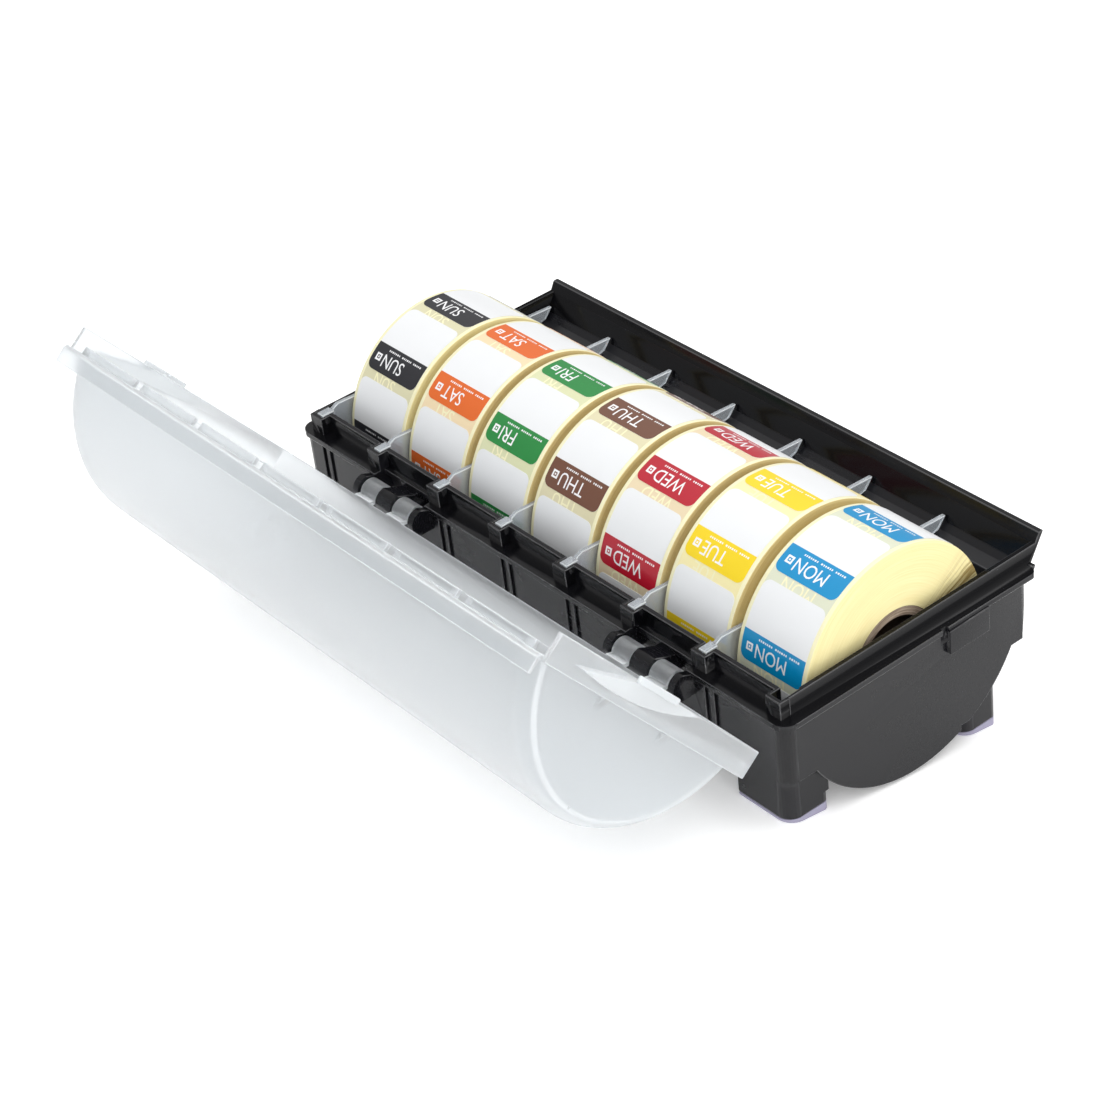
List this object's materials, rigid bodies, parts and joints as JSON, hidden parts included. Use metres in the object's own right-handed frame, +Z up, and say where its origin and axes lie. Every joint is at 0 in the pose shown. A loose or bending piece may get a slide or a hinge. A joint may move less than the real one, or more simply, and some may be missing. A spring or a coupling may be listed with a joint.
{
  "type": "label roll dispenser",
  "caption": "Tilted half-round counter tray holding a row of day-label rolls between clear dividers, with a hinged translucent half-barrel lid.",
  "frame": {"origin": "bottom centre of the dispenser's bounding box with the lid open, on the table", "axes": "+X along the row of rolls towards the Sunday end, -Y towards the person tearing off labels, +Z up"},
  "size_m": [0.2402, 0.198, 0.1019],
  "materials": {
    "tray_black": "smooth moulded, glossy",
    "lid_frosted": "translucent moulded plastic, satin",
    "divider_clear": "clear moulded plastic",
    "pad_rubber": "soft, matt",
    "core_card": "wound card tube, matt",
    "label_stock": "coated label paper, satin",
    "label_backing": "backing paper, matt",
    "label_sun": "printed label paper, satin",
    "label_sat": "printed label paper, satin",
    "label_fri": "printed label paper, satin",
    "label_thu": "printed label paper, satin",
    "label_wed": "printed label paper, satin",
    "label_tue": "printed label paper, satin",
    "label_mon": "printed label paper, satin"
  },
  "bodies": {
    "tray": {"tray": "tray_black", "divider_1": "divider_clear", "divider_2": "divider_clear", "divider_3": "divider_clear", "divider_4": "divider_clear", "divider_5": "divider_clear", "divider_6": "divider_clear", "divider_7": "divider_clear", "foot_pad_rear_left": "pad_rubber", "foot_pad_rear_right": "pad_rubber", "foot_pad_front_left": "pad_rubber", "foot_pad_front_right": "pad_rubber"},
    "lid": {"lid": "lid_frosted"},
    "roll_sun": {"label_web_sun": "label_sun", "roll_core_sun": "core_card"},
    "roll_sat": {"label_web_sat": "label_sat", "roll_core_sat": "core_card"},
    "roll_fri": {"label_web_fri": "label_fri", "roll_core_fri": "core_card"},
    "roll_thu": {"label_web_thu": "label_thu", "roll_core_thu": "core_card"},
    "roll_wed": {"label_web_wed": "label_wed", "roll_core_wed": "core_card"},
    "roll_tue": {"label_web_tue": "label_tue", "roll_core_tue": "core_card"},
    "roll_mon": {"label_web_mon": "label_mon", "roll_core_mon": "core_card"}
  },
  "joints": [
    {"name": "lid_hinge", "type": "hinge", "parent": "tray", "child": "lid", "pos_m": [0, 0.01111, 0.03525], "axis": [1, 0, 0], "range_deg": [0, 128.8]},
    {"name": "roll_sun_spin", "type": "hinge", "parent": "tray", "child": "roll_sun", "pos_m": [0.0945, -0.0427, 0.04007], "axis": [1, 0, 0], "continuous": true},
    {"name": "roll_sat_spin", "type": "hinge", "parent": "tray", "child": "roll_sat", "pos_m": [0.063, -0.0427, 0.04007], "axis": [1, 0, 0], "continuous": true},
    {"name": "roll_fri_spin", "type": "hinge", "parent": "tray", "child": "roll_fri", "pos_m": [0.0315, -0.0427, 0.04007], "axis": [1, 0, 0], "continuous": true},
    {"name": "roll_thu_spin", "type": "hinge", "parent": "tray", "child": "roll_thu", "pos_m": [0, -0.0427, 0.04007], "axis": [1, 0, 0], "continuous": true},
    {"name": "roll_wed_spin", "type": "hinge", "parent": "tray", "child": "roll_wed", "pos_m": [-0.0315, -0.0427, 0.04007], "axis": [1, 0, 0], "continuous": true},
    {"name": "roll_tue_spin", "type": "hinge", "parent": "tray", "child": "roll_tue", "pos_m": [-0.063, -0.0427, 0.04007], "axis": [1, 0, 0], "continuous": true},
    {"name": "roll_mon_spin", "type": "hinge", "parent": "tray", "child": "roll_mon", "pos_m": [-0.0952, -0.0427, 0.04007], "axis": [1, 0, 0], "continuous": true}
  ]
}
